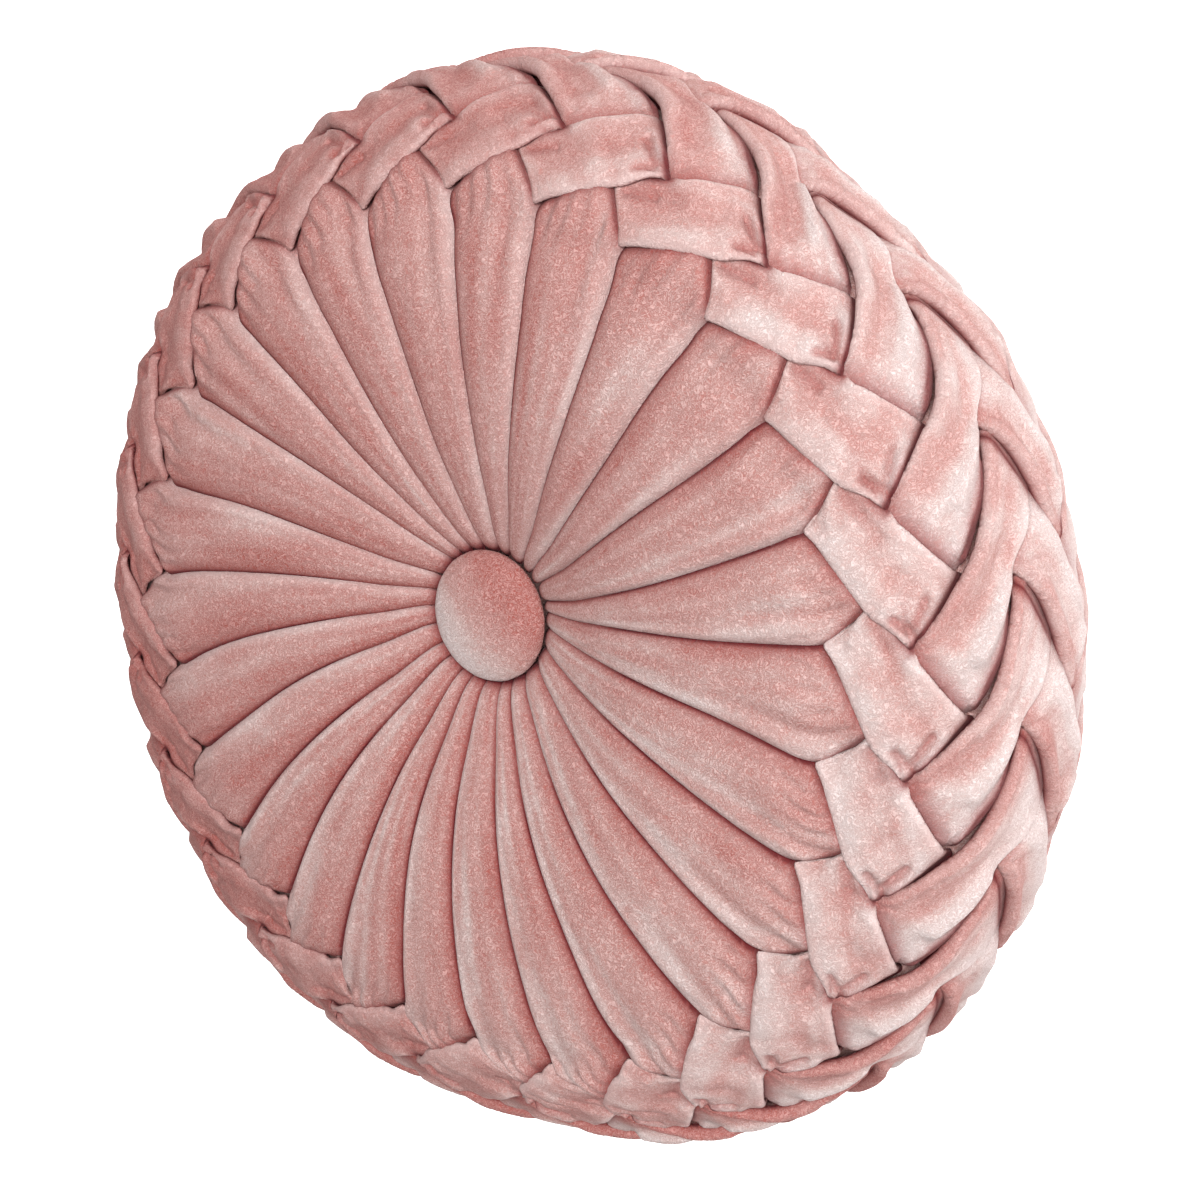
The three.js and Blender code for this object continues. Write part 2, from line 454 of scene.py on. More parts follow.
ARC, ARC_RADIUS, ARC_HEIGHT, ARC_HALF = make_ground()
ARC_TR = np.gradient(ARC_RADIUS, ARC)
ARC_TZ = np.gradient(ARC_HEIGHT, ARC)
ARC_ALL = 2 * ARC_HALF


def ground_radius(out):
    """The radius of the ground, so many millimetres out from the pleat tips."""
    return np.interp(out, ARC, ARC_RADIUS)


def way_in(out):
    """0 from the ring of pleat tips outward, and 1 at the button."""
    return np.clip((LEAN_OUTER - ground_radius(out)) / (LEAN_OUTER - LEAN_INNER), 0.0, 1.0)


def place(turn, out, height):
    """Points in metres at so many pitches round, millimetres out and millimetres up."""
    angle = TIP_ONE - (turn - 1.0) * PITCH
    side = ease(out, SIDE_FROM, SIDE_FULL) * (1.0 - ease(out, ARC_ALL - SIDE_FULL, ARC_ALL - SIDE_FROM))
    lift = height + GROUND - SIDE_DEEPER * side
    tr = np.interp(out, ARC, ARC_TR)
    tz = np.interp(out, ARC, ARC_TZ)
    size = np.hypot(tr, tz)
    r = ground_radius(out) - lift * tz / size
    z = np.interp(out, ARC, ARC_HEIGHT) + lift * tr / size + MID_HEIGHT
    z = np.maximum(z, 0.0)
    squeeze = bumps(turn, PRESSED_IN) + bumps(turn, REAR_PRESSED_IN) * ease(out, 15.0, 60.0)
    r = r - squeeze * ease(r, PRESS_FROM, PRESS_FULL)
    beside = 1.0 - ease(r, BESIDE_INNER, BESIDE_OUTER)
    pull = np.clip(1.0 - r / LEAN_OUTER, 0.0, 1.0) + BESIDE_PULL * beside
    pull = np.where(z > MID_HEIGHT, pull, 0.0)
    x = r * np.cos(angle) + PULL_RIGHT * pull
    y = r * np.sin(angle) + PULL_UP * pull
    return np.stack([x, y, z], axis=-1) * MM


def drift(turn, out):
    """How the hand sewn rings wander: a shift in pitches and in millimetres."""
    angle = (turn - 1.0) * PITCH
    push = waves(angle, RING_WAVES) + bumps(turn, RING_SPOTS)
    push = push + 0.8 * np.sin(9 * angle + 1.3 - 0.05 * out)
    push = push * hump(np.minimum(out, 0.0), 0.0, DRIFT_IN) * (1.0 - ease(out, 40.0, DRIFT_OUT))
    share = np.clip(out / 24.0, 0.0, 1.0)
    side = waves(angle, TIP_WAVES) * (1.0 - share) + bumps(turn, BRAID_SPOTS) * share
    side = side + 0.018 * np.sin(7 * angle + 0.06 * out + 2.0) + 0.014 * np.sin(12 * angle - 0.08 * out)
    side = side * (1.0 - ease(out, 50.0, DRIFT_OUT))
    inner = way_in(out)
    leaning = side * (1.0 - inner) + waves(angle, GROOVE_WAVES) * inner
    return np.where(out < 0.0, leaning, side), push


def chance(seed):
    """A number from -1 to 1 that is always the same for a seed."""
    return 2.0 * (math.sin(seed * 127.1 + 11.7) * 43758.5453 % 1.0) - 1.0


def ripple(x, y, seed, size):
    """Soft unevenness of the cloth, about size millimetres across."""
    total = 0.0
    count = 5
    for step in range(count):
        a = chance(seed + step * 3.1) * math.pi
        b = chance(seed + step * 7.7) * math.pi
        k = TURN / (size * (1.0 + 0.35 * chance(seed + step * 1.9)))
        total = total + np.sin(k * (x * math.cos(a) + y * math.sin(a)) + b)
    return total / count


def line_gap(x, y, pitch, line):
    """Distance in millimetres over a fold's plan from a straight line on it."""
    ax, ay = line.turn * pitch, line.out
    bx, by = line.to_turn * pitch, line.to_out
    dx, dy = bx - ax, by - ay
    along = ((x - ax) * dx + (y - ay) * dy) / math.hypot(dx, dy) ** 2
    near = np.clip(along, 0.0, 1.0)
    return np.hypot(x - ax - near * dx, y - ay - near * dy)


def swell_height(x, y, pitch, swell, scale):
    """Height of one ridge or valley over a fold's plan, in millimetres."""
    return scale * swell.rise * hump(line_gap(x, y, pitch, swell), 0.0, swell.width)


def gather_height(x, y, pitch, gather, seed):
    """Small folds that run out of a hidden stitch, and the painted shade in the valleys between them."""
    dx = x - gather.turn * pitch
    dy = y - gather.out
    gap = np.hypot(dx, dy) + 1e-6
    angle = np.arctan2(dy, dx)
    phase = 0.5 * gather.waves * angle + 3.0 * chance(seed) + 0.06 * gap
    wave = 2.0 * np.abs(np.cos(phase)) ** 0.8 - 1.2
    near = gap / (gather.reach * (1.0 + 0.25 * chance(seed + 0.5)))
    shape = near * np.exp(0.5 - 0.5 * near**2)
    rise = gather.rise * wave * shape + gather.dip * hump(gap, 0.0, 2.6)
    return rise, np.clip(-wave, 0.0, 1.0) * shape * min(gather.rise, 1.0)


def tube_template(rings, around):
    """A closed tube as a mesh, with each point's ring and spoke."""
    bm = bmesh.new()
    bmesh.ops.create_uvsphere(bm, u_segments=around, v_segments=rings, radius=1.0)
    bmesh.ops.recalc_face_normals(bm, faces=bm.faces)
    co = np.array([v.co[:] for v in bm.verts])
    ring = np.rint(np.arccos(np.clip(co[:, 2], -1, 1)) / math.pi * rings).astype(int)
    spoke = np.rint(np.arctan2(co[:, 1], co[:, 0]) / TURN * around).astype(int) % around
    mesh = bpy.data.meshes.new("tube")
    bm.to_mesh(mesh)
    bm.free()
    return mesh, ring, spoke


def lay_tubes(name, rings, around, layers):
    """One piece of many closed tubes, each shaped by its own function of ring and spoke."""
    mesh, ring, spoke = tube_template(rings, around)
    bm = bmesh.new()
    for _ in layers:
        bm.from_mesh(mesh)
    bpy.data.meshes.remove(mesh)
    made = [where(ring, spoke) for where in layers]
    points = np.concatenate([one[0] for one in made])
    for v, point in zip(bm.verts, points):
        v.co = point
    piece = close_up(name, bm, len(layers))
    # The marks: painted highlight on rolled edges, painted shade in creases, and the brushed pile together
    # with painted light and shade.
    for number, mark in enumerate(("lip", "crease", "nap")):
        values = np.concatenate([one[number + 1] for one in made])
        layer = piece.data.attributes.new(mark, "FLOAT", "POINT")
        layer.data.foreach_set("value", values.astype(np.float32))
    return piece


def section(around, top, lip_steps):
    """For each spoke: how far across the fold, which side's lip, and the lip's angle."""
    spokes = []
    for step in range(top + 1):
        closer = 0.55 + 0.45 * abs(2 * step / top - 1)
        spokes.append((0.5 - 0.5 * math.cos(math.pi * step / top) * closer, 0, math.pi / 2))
    for step in range(1, lip_steps):
        spokes.append((1.0, 1, math.pi / 2 - math.pi * step / lip_steps))
    low = around - (top + 1) - 2 * (lip_steps - 1)
    for step in range(low):
        spokes.append((1.0 - step / (low - 1), 0, -math.pi / 2))
    for step in range(1, lip_steps):
        spokes.append((0.0, -1, -math.pi / 2 + math.pi * step / lip_steps))
    across, side, angle = zip(*spokes)
    return np.array(across), np.array(side), np.array(angle)


def rolled(wide, first_lip, last_lip, across, side, angle):
    """A point of a strip's section: its share of the width, its lip, and its rise on the lip."""
    lip = first_lip + (last_lip - first_lip) * across
    inset = (first_lip + (wide - first_lip - last_lip) * across + side * lip * np.cos(angle)) / wide
    return inset, lip, lip * np.sin(angle)


def lip_underside_shade(side, angle):
    """The painted shade on the underside of a rolled edge, from 0 to 1."""
    return np.where(side == 0, 0.0, np.clip(0.25 - 1.3 * np.sin(angle), 0.0, 1.0))


def drawn_in(pleat):
    """How much further the end of a fold is drawn in at the lower left."""
    return 2.0 * bump(pleat + 1.0, 18.0, 6.5)


def fold_edges(row, pleat, u):
    """The top and low edge of a fold, read at so many places along it."""
    left = bump(pleat + 1.0, 20.7, 3.6)
    edges = []
    for rows, up, start, reach in ((row.top, row.up_top, 0.12, 0.60), (row.low, row.up_low, 0.22, 0.62)):
        edge = Edge(u, *[read(rows, column, u) for column in Edge._fields[1:]])
        arch = np.sin(math.pi * np.clip((u - start) / reach, 0.0, 1.0))
        edges.append(edge._replace(
            out=edge.out - up * left * arch,
            height=np.where(edge.height > 0.0, edge.height * row.fullness, edge.height),
            lip=edge.lip * (0.6 + 0.4 * row.fullness),
        ))
    top, low = edges
    lower = 0.22 * row.up_top * left * np.clip(top.height, 0.0, 1.0)
    top = top._replace(height=top.height - lower)
    if row.end_lip:
        tail = 0.6 * hump(u, 0.13, 0.08) - 0.3 * hump(u, 0.0, 0.04)
        top = top._replace(out=top.out + drawn_in(pleat) * tail)
    return top, low


def moved(edge, by, way_x, way_y, pitch):
    """An edge moved over the ground by so many millimetres in one direction."""
    return edge._replace(turn=edge.turn + by * way_x / pitch, out=edge.out + by * way_y)


# Where the points of a fold lie, with its width and its edges beside each of them.
Plan = namedtuple("Plan", "along turn out inset wide top low rise")


def fold_plan(row, pleat, u, bend, pole, point):
    """Spans the section of a fold between its edges, tucked under and rounded at its ends."""
    top, low = fold_edges(row, pleat, u)
    pitch = ground_radius(0.5 * (top.out + low.out) + row.out) * PITCH
    gap_x, gap_y = (top.turn - low.turn) * pitch, top.out - low.out
    wide = np.hypot(gap_x, gap_y)
    way_x, way_y = gap_x / wide, gap_y / wide
    full = np.sin(bend)
    corner = (1.3 if row.end_lip else 2.2) * (1.0 - full)
    top = moved(top, top.tuck - corner, way_x, way_y, pitch)
    low = moved(low, corner - low.tuck, way_x, way_y, pitch)
    wide = wide + top.tuck + low.tuck - 2.0 * corner
    inset, _, rise = rolled(wide, top.lip, low.lip, *point)
    inset = np.where(pole, 0.5, inset)
    near_end = 1.0 - ease(np.minimum(u, 1.0 - u), 0.0, 0.12)
    inward = np.where(u < 0.5, 2.2, -2.2) * (1.0 - np.cos(bend)) * near_end
    if row.end_lip:
        hollow = np.sin(math.pi * np.clip(inset, 0.0, 1.0) ** 0.7) * near_end
        inward = inward + np.where(u < 0.5, (1.0 + 0.8 * drawn_in(pleat)) * hollow, 0.0)
    top = moved(top, inward, -way_y, way_x, pitch)
    low = moved(low, inward, -way_y, way_x, pitch)
    turn = top.turn + (low.turn - top.turn) * inset
    out = top.out + (low.out - top.out) * inset
    return Plan(u, turn, out, inset, wide, top, low, rise * full)


def fold_relief(row, plan, pitch, seed):
    """A fold's height over the ground, its painted shade in creases and beside covering edges from 0 to 1,
    and what its swells add.
    """
    top, low, inset, wide = plan.top, plan.low, plan.inset, plan.wide
    x, y = plan.turn * pitch, plan.out
    sink = np.clip(inset, 0.0, 1.0) ** (1.0 + 0.18 * np.clip(top.height - low.height, 0.0, 5.0))
    height = top.height + (low.height - top.height) * sink
    # Painted shade: darker along the tucked edge, where the fold lies low, beside the next row's covering
    # edge, in narrow valleys and between gathers.
    crease = 0.9 * fade((1.0 - inset) * wide - low.tuck, 2.2) * ease(low.tuck, 0.3, 2.0)
    buried_shade = np.clip((0.5 - np.maximum(top.height, low.height)) / 3.0, 0.0, 1.0)
    crease = np.maximum(crease, buried_shade)
    crease = np.maximum(crease, 0.95 * fade(line_gap(x, y, pitch, row.cover) - 0.6, 1.7))
    change = 0.0
    for number, swell in enumerate(row.swells):
        scale = (1.0 + 0.35 * chance(seed + number)) * row.fullness
        one = swell_height(x, y, pitch, swell, scale)
        change = change + one
        if swell.width < NARROW_SWELL:
            crease = np.maximum(crease, 0.22 * np.clip(-one, 0.0, 1.8))
    change = change + 0.25 * ripple(x, y, seed, 16.0) + 0.05 * ripple(x, y, seed + 5, 6.0)
    inside = np.clip(4.0 * inset * (1.0 - inset), 0.0, 1.0)
    height = height + change * inside**0.5
    top_roll = ROLL_SOFT if row.end_lip else ROLL_DEEP
    for gap, edge, roll in ((inset * wide, top, top_roll), ((1.0 - inset) * wide, low, ROLL_SOFT)):
        height = height - roll * ease(edge.height, -0.5, 1.2) * hump(gap, ROLL_IN, ROLL_WIDTH)
    for number, gather in enumerate(row.gathers):
        rise, valley_shade = gather_height(x, y, pitch, gather, seed + 2 * number)
        height = height + rise * row.fullness
        crease = np.maximum(crease, 0.6 * valley_shade * row.fullness)
    return height, crease, change


def fold_looks(row, plan, pitch, turn, height, change, seed):
    """A fold's painted highlight on its rolled edges, and its pile: brushed at random, with painted light
    and shade by side, by swell and along the top edge.
    """
    inset, wide = plan.inset, plan.wide
    x, y = plan.turn * pitch, plan.out
    facing = TIP_ONE - (turn - 1.0) * PITCH
    shaded = 0.0 if row.end_lip and row.out == 0.0 else 0.55 - 0.45 * np.sin(facing)
    # Painted highlight on the rolled edges, weaker on the top edge where the fold is shaded and where the
    # cloth lies low.
    lip = np.maximum(
        np.exp(-inset * wide / 2.0) * (1.0 - shaded), np.exp(-(1.0 - inset) * wide / 2.0)
    )
    lip = lip * np.clip(0.5 + 0.5 * height, 0.0, 1.0)
    # Painted shade in a band along the top rolled edge, stronger where the fold is shaded, and paler
    # towards the low edge.
    edge_shade_band = inset - 0.3 - 1.9 * hump(inset, 0.0, 0.27)
    # Painted light and shade: paler to the right, darker to the left and paler on swells; the ripples are
    # the pile brushed at random.
    nap = row.sheen * np.cos(facing) - 0.1 + 0.2 * chance(seed + 8) + shaded * edge_shade_band
    nap = nap + 0.35 * ripple(x, y, seed + 3, 17.0)
    nap = nap + 0.35 * ripple(inset * wide, plan.along * 9.0, seed + 4, 7.0)
    return lip, nap + 0.4 * np.clip(change, -1.5, 1.5)


def fold_points(row, pleat, seed):
    """Lays one fold of a row over its neighbours."""
    across, side, angle = section(FOLD_AROUND, TOP_STEPS, FOLD_LIP_STEPS)
    steps = np.arange(row.rings + 1)
    bend = np.minimum(np.minimum(steps, row.rings - steps) / FOLD_ENDS, 1.0) * math.pi / 2
    along = np.clip((steps - FOLD_ENDS) / (row.rings - 2.0 * FOLD_ENDS), 0.0, 1.0)
    pitch = float(ground_radius(row.low[len(row.low) // 2].out + row.out)) * PITCH

    def where(ring, spoke):
        pole = (ring == 0) | (ring == row.rings)
        point = (across[spoke], side[spoke], angle[spoke])
        plan = fold_plan(row, pleat, along[ring], bend[ring], pole, point)
        height, crease, change = fold_relief(row, plan, pitch, seed)
        crease = np.maximum(crease, lip_underside_shade(side[spoke], angle[spoke]))
        turn = plan.turn + pleat + row.turn
        out = plan.out + row.out
        height = height - BACK_SINK * ease(out, ARC_ALL - 6.0, ARC_ALL + 4.0)
        side_shift, push = drift(turn, out)
        points = place(turn + side_shift, out + push, height + plan.rise)
        lip, nap = fold_looks(row, plan, pitch, turn, height, change, seed)
        return points, lip, crease, nap

    return where


def groove(ends, number, out):
    """Where a groove lies across, in pitches from its pleat."""
    wander = 0.2 * chance(((number - 1) % PLEATS + 1) * 56.03)
    return ends.first + wander * way_in(out)


def end_line(ends, share):
    """How far out a pleat ends, at a share of its width."""
    tent = np.where(share < ends.notch, share / ends.notch, (1 - share) / (1 - ends.notch))
    return TIP_OUT + (ends.out - TIP_OUT) * tent


def pleat_height(a, b, gap, out, x, small, bulge, seed):
    """A pleat's height over the ground, a and b in from its edges and gap in from its end."""
    top = 3.0 * small**0.8 * bulge**0.6
    filled = 1.0 - 0.55 * hump(np.maximum(gap, 0.0), 0.0, 7.0)
    top = top - (2.0 + 2.6 * small) * filled * np.exp(-a / (1.2 + 2.8 * small))
    top = top + 0.5 * small * hump(b, 3.4 * small, 2.2 * small)
    deep = ease(out, DEEP_FROM, DEEP_FULL)
    for ridge in RIDGES:
        far_in = ridge.far_in + ridge.wander * chance(seed + ridge.far_seed)
        rise = ridge.rise + ridge.spread * chance(seed + ridge.rise_seed)
        top = top + rise * deep * hump(a if ridge.edge == "left" else b, far_in, ridge.width)
    top = top + 1.3 * hump(gap, 14.0, 10.0) * bulge
    top = top + 1.2 * hump(gap, 4.0, 4.0) * bulge**0.5
    top = top - 1.8 * np.exp(-np.maximum(gap, -3.0) / 1.6)
    wander = x + 1.2 * np.sin(out / 5.0 + seed)
    pinch = np.cos(TURN * wander / (6.2 + chance(seed + 2)) + 3.0 * chance(seed))
    top = top + 0.8 * pinch * hump(gap, 6.5, 6.0) * bulge**0.5
    uneven = 0.30 * ripple(x, out / 3.0, seed, 13.0) + 0.10 * ripple(x, out / 1.8, seed + 5, 5.0)
    return top + uneven * small


def pleat_pile_and_light(turn, inset, x, out, seed):
    """How the pile of a pleat is brushed in random streaks, with painted light and shade: lighter or
    darker by where the pleat lies round the face, paler on its rolled edge and darker on its tucked edge.
    """
    facing = TIP_ONE - (turn - 1.0) * PITCH
    lit = np.cos(facing - math.radians(60.0))
    nap = 0.32 * np.cos(facing + math.radians(15.0)) - 0.08 * lit - 0.1
    return nap + (0.65 - 0.30 * lit) * (2.0 * inset - 1.0) + 0.7 * ripple(x, out / 6.0, seed + 7, 11.0)


def pleat_points(pleat, rings, ends, seed):
    """Lays one pleat of a face, from under the button to under the braid."""
    across, side, angle = section(PLEAT_AROUND, TOP_STEPS, PLEAT_LIP_STEPS)
    thick = np.ones(rings + 1)
    thick[: len(PLEAT_ENDS)] = PLEAT_ENDS
    thick[-len(PLEAT_ENDS):] = PLEAT_ENDS[::-1]
    along = np.clip((np.arange(rings + 1) - 2.0) / (rings - 4.0), 0.0, 1.0)
    along = 0.5 * along + 0.5 * np.sin(along * math.pi / 2)
    half = len(ARC) // 2
    inner = float(np.interp(UNDER_BUTTON, ARC_RADIUS[:half], ARC[:half]))
    slope = math.hypot(1.0, (ends.out - TIP_OUT) / (ends.notch * TIP_WIDTH))

    def where(ring, spoke):
        full = thick[ring]
        out = inner + (end_line(ends, across[spoke]) + UNDER_BRAID - inner) * along[ring]
        radius = ground_radius(out)
        pitch = radius * PITCH
        left = groove(ends, pleat, out)
        right = groove(ends, pleat + 1, out) + 1.0
        small = np.clip(pitch / 30.0, 0.12, 1.0)
        tuck = UNDER_NEIGHBOUR * small**0.7
        wide = (right - left) * pitch + tuck
        first_lip = np.minimum(2.0, 0.20 * wide) * (0.4 + 0.6 * full)
        last_lip = np.minimum(2.5, 0.24 * wide) * (0.4 + 0.6 * full)
        inset, lip, rise = rolled(
            wide, first_lip, last_lip, across[spoke], side[spoke], angle[spoke]
        )
        pole = (ring == 0) | (ring == rings)
        inset = np.where(pole, 0.5, inset)
        rise = np.where(pole, 0.0, rise * full)
        inset = 0.5 + (inset - 0.5) * (1.0 - 0.3 * fade(radius - UNDER_BUTTON, 1.6))
        turn = left - tuck / pitch + (wide / pitch) * inset
        a, b = inset * wide, (1.0 - inset) * wide
        bulge = np.sin(math.pi * np.clip(inset, 0, 1))
        share = (left - ends.first) + (wide * inset - tuck) / pitch
        gap = (end_line(ends, share) - out) / slope
        x = turn * TIP_WIDTH
        height = pleat_height(a, b, gap, out, x, small, bulge, seed) - lip
        # Painted shade along the tucked edge, beside the braid, beside the button and under the rolled
        # edges.
        crease = fade(a - tuck, 0.5 + 1.3 * small)
        crease = np.maximum(crease, 0.8 * fade(gap - 1.0, 1.6))
        crease = np.maximum(crease, fade(radius - 23.0, 1.6))
        crease = np.maximum(crease, lip_underside_shade(side[spoke], angle[spoke]))
        turn = turn + pleat
        if ends is FRONT:
            side_shift, push = drift(turn, out)
            points = place(turn + side_shift, out + push, height + rise)
        else:
            points = place(turn, ARC_ALL - out, height + rise)
        # The first mark is a painted highlight on the pleat's rolled right edge.
        return points, np.exp(-b / (0.6 + 1.8 * small)), crease, pleat_pile_and_light(turn, inset, x, out, seed)

    return where


def close_up(name, bm, parts=1):
    """Turns a bmesh of so many equal closed parts into a smooth piece with its faces outward."""
    bm.normal_update()
    faces = list(bm.faces)
    share = len(faces) // parts
    for start in range(0, len(faces), share):
        part = faces[start:start + share]
        if sum(face.calc_area() * face.normal.dot(face.calc_center_median()) for face in part) < 0.0:
            bmesh.ops.reverse_faces(bm, faces=part)
    for face in faces:
        face.smooth = True
    mesh = bpy.data.meshes.new(name)
    bm.to_mesh(mesh)
    bm.free()
    piece = bpy.data.objects.new(name, mesh)
    bpy.context.scene.collection.objects.link(piece)
    return piece


def dress(piece, material, nodes=()):
    """Gives a piece its velvet, hangs it under the root body and hides the parts of the model that it
    replaces.
    """
    piece.data.materials.clear()
    piece.data.materials.append(material)
    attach(piece, "root")
    if nodes:
        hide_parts(*nodes)
    return piece


class Wire:
    """A socket that can be worked with as a number."""

    def __init__(self, nodes, socket):
        self.nodes = nodes
        self.socket = socket

    def _math(self, operation, *values):
        return self.nodes.add("ShaderNodeMath", {"operation": operation}, *values)["Value"]

    def __add__(self, other):
        return self._math("ADD", self, other)

    def __mul__(self, other):
        return self._math("MULTIPLY", self, other)

    def __sub__(self, other):
        return self._math("SUBTRACT", self, other)

    def __pow__(self, other):
        return self._math("POWER", self, other)

    def sine(self):
        return self._math("SINE", self)

    def clamped(self):
        """The number kept between 0 and 1."""
        return self._math("MAXIMUM", self._math("MINIMUM", self, 1.0), 0.0)


class Made:
    """The outputs of a new node, by name."""

    def __init__(self, nodes, node):
        self.nodes = nodes
        self.node = node

    def __getitem__(self, name):
        return Wire(self.nodes, self.node.outputs[name])


class Nodes:
    """Builds one material's nodes."""

    def __init__(self, name):
        self.material = bpy.data.materials.new(name)
        self.material.use_nodes = True
        self.tree = self.material.node_tree
        self.tree.nodes.clear()

    def link(self, value, socket):
        """Joins a wire to a socket, or sets the socket to a value."""
        if isinstance(value, Wire):
            self.tree.links.new(value.socket, socket)
        else:
            socket.default_value = value

    def add(self, kind, settings, *values, **named):
        """A new node with its settings, and its inputs in order or by name."""
        node = self.tree.nodes.new(kind)
        for key, value in settings.items():
            setattr(node, key, value)
        for number, value in enumerate(values):
            self.link(value, node.inputs[number])
        for key, value in named.items():
            self.link(value, node.inputs[key.replace("_", " ")])
        return Made(self, node)

    def noise(self, spot, scale, detail, roughness=0.5, distortion=0.0):
        """A noise from 0 to 1."""
        return self.add(
            "ShaderNodeTexNoise", {}, Vector=spot, Scale=scale, Detail=detail,
            Roughness=roughness, Distortion=distortion,
        )["Fac"]

    def mark(self, name):
        """A number that the piece carries at each of its points."""
        return self.add("ShaderNodeAttribute", {"attribute_name": name})["Fac"]

    def mix(self, amount, one, other, blend="MIX"):
        """Two colours mixed by an amount."""
        node = self.tree.nodes.new("ShaderNodeMix")
        node.data_type = "RGBA"
        node.blend_type = blend
        colours = [socket for socket in node.inputs if socket.type == "RGBA"]
        self.link(amount, node.inputs["Factor"])
        self.link(one, colours[0])
        self.link(other, colours[1])
        return Wire(self, next(socket for socket in node.outputs if socket.type == "RGBA"))


def rgb(colour):
    """A colour with full alpha."""
    return (*colour, 1.0)


def velvet(name, look, brush):
    """Short pile velvet: worm like grain and brushed patches, with painted highlights on rolled edges,
    painted shade in creases, and painted light and shade carried by the pile mark.
    """
    nodes = Nodes(name)
    spot = nodes.add("ShaderNodeTexCoord", {})["Object"]
    warp = nodes.noise(spot, 340.0, 2.0)
    pile = nodes.noise(spot, 520.0, 2.0, 0.6, 1.2)
    worm = (pile * 36.0 + warp * 8.0).sine() * 0.5 + 0.5
    hair = nodes.noise(spot, 1700.0, 2.0, 0.7)
    brushed = nodes.noise(spot, 26.0, 3.0, 0.6, 0.8)
    patch = nodes.noise(spot, 85.0, 3.0, 0.6, 1.4)
    lip = nodes.mark("lip")
    crease = nodes.mark("crease")
    nap = nodes.mark("nap")
    # The deep, pale, light and frost colours follow the brushed pile together with the painted light and
    # shade that the pile mark carries.
    shade = nap * 0.45 + (brushed - 0.5) * brush.cloud + (patch - 0.5) * brush.streak + 0.45
    base = nodes.mix(shade.clamped(), rgb(look.deep), rgb(look.pale))
    base = nodes.mix(((shade - LIGHT_FROM) * 1.8).clamped(), base, rgb(look.light))
    base = nodes.mix(((shade - FROST_FROM) * 1.5).clamped(), base, rgb(look.frost_and_highlight))
    tufts = (worm - 0.5) * (1.2 * brush.grain) + (hair - 0.5) * (0.9 * brush.grain)
    tone = (tufts + 0.5).clamped()
    low = nodes.mix(1.0, base, rgb(look.between), "MULTIPLY")
    base = nodes.mix(tone, low, nodes.mix(0.35, base, rgb(look.tips_and_edge_highlight)))
    # Painted highlight on rolled edges.
    base = nodes.mix((lip * (nap * 0.25 + 0.4)).clamped(), base, rgb(look.tips_and_edge_highlight))
    # Painted shade in creases, beside folds and where folds press together.
    base = nodes.mix((crease * 0.85).clamped(), base, rgb(look.shadow))
    base = nodes.mix((crease**4.0 * 0.95).clamped(), base, rgb(look.crevice_shade))
    height = worm * 0.6 + hair * 0.6 + patch * 0.8
    dent = nodes.add("ShaderNodeBump", {}, Strength=0.6, Distance=0.0008, Height=height)["Normal"]
    rough = (patch * 0.2 + 0.72).clamped()
    surface = nodes.add(
        "ShaderNodeBsdfPrincipled", {},
        Base_Color=base, Roughness=rough, Normal=dent, Specular_IOR_Level=0.05,
        Sheen_Weight=look.sheen, Sheen_Roughness=0.35, Sheen_Tint=rgb(look.sheen_colour),
    )["BSDF"]
    nodes.add("ShaderNodeOutputMaterial", {}, Surface=surface)
    return nodes.material


VELVETS = {}


def cloth(name):
    """The velvet of that name, made once."""
    if name not in VELVETS:
        VELVETS[name] = velvet(name, bpy.context.scene.cushion_velvet, BRUSHES[name])
    return VELVETS[name]


def plain(name, colour, rough, glow):
    """A plain surface with a faint grain and a soft glow."""
    nodes = Nodes(name)
    spot = nodes.add("ShaderNodeTexCoord", {})["Object"]
    grain = nodes.noise(spot, 6.0, 2.0)
    base = nodes.mix(grain, rgb(colour), rgb([min(1.0, part * 1.02) for part in colour]))
    paint = nodes.add(
        "ShaderNodeBsdfPrincipled", {}, Base_Color=base, Roughness=rough,
        Emission_Color=rgb((1.0, 1.0, 1.0)), Emission_Strength=glow,
    )["BSDF"]
    nodes.add("ShaderNodeOutputMaterial", {}, Surface=paint)
    return nodes.material


def colour(name, description, default):
    """A setting that holds a colour."""
    return bpy.props.FloatVectorProperty(
        name=name, description=description, subtype="COLOR", size=3, default=default
    )


def number(name, description, default, **more):
    """A setting that holds a number."""
    return bpy.props.FloatProperty(name=name, description=description, default=default, **more)


class CushionSizes(bpy.types.PropertyGroup):
    """Sizes of the visible cloth."""

    pleat_rings: bpy.props.IntProperty(
        name="Pleat steps", description="Steps along each pleat of the front face",
        default=84, min=20,
    )
    button_width: number("Button width", "Width of a covered button", 0.0449, unit="LENGTH")
    button_rise: number("Button height", "Height of a covered button's dome", 0.0117, unit="LENGTH")


